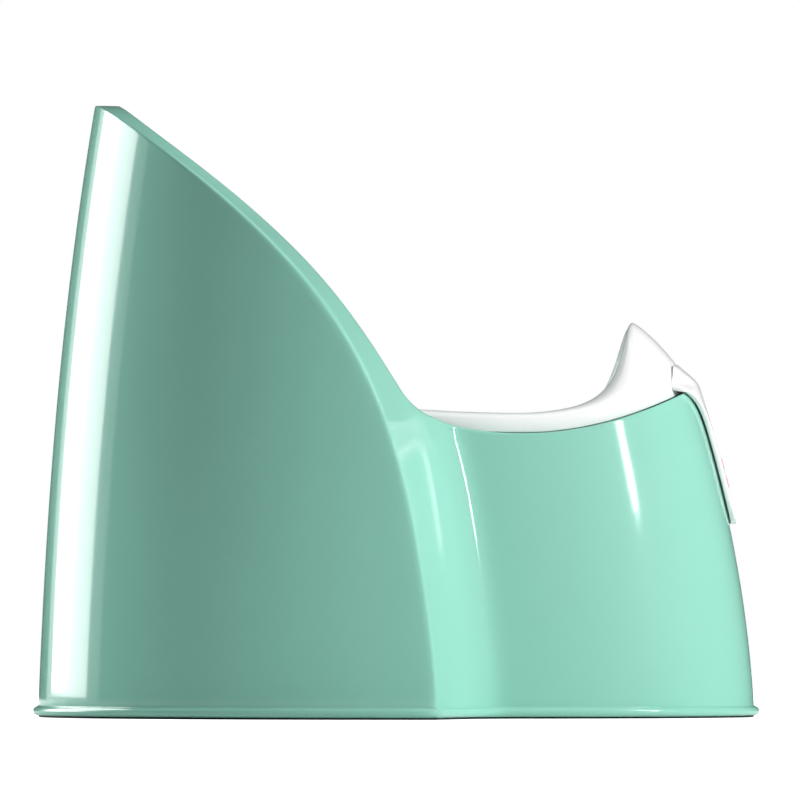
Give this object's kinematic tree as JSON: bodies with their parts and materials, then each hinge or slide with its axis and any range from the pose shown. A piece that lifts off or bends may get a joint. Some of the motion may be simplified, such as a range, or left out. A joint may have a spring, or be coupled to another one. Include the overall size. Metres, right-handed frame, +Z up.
{
  "type": "potty training chair",
  "caption": "Moulded potty training chair with a high curved back, a lift-out inner potty with splash guard and grip tongue, and rubber grip strips under the base.",
  "frame": {"origin": "middle of the base, on the floor", "axes": "+X to the front of the chair, +Y to the seated child's left, +Z up"},
  "size_m": [0.35, 0.31, 0.295],
  "materials": {
    "shell_plastic": "gloss mint green polypropylene, injection moulded",
    "potty_plastic": "gloss white polypropylene",
    "grip_rubber": "matt dark thermoplastic rubber",
    "mark_print": "coral pink inlaid plastic"
  },
  "bodies": {
    "chair": {"chair_shell": "shell_plastic", "grip_strip_left": "grip_rubber", "grip_strip_right": "grip_rubber"},
    "potty": {"inner_potty": "potty_plastic", "front_mark_upper": "mark_print", "front_mark_lower": "mark_print"}
  },
  "joints": [
    {"name": "potty_lift", "type": "slide", "parent": "chair", "child": "potty", "axis": [0, 0, 1], "range_m": [0, 0.16]}
  ]
}
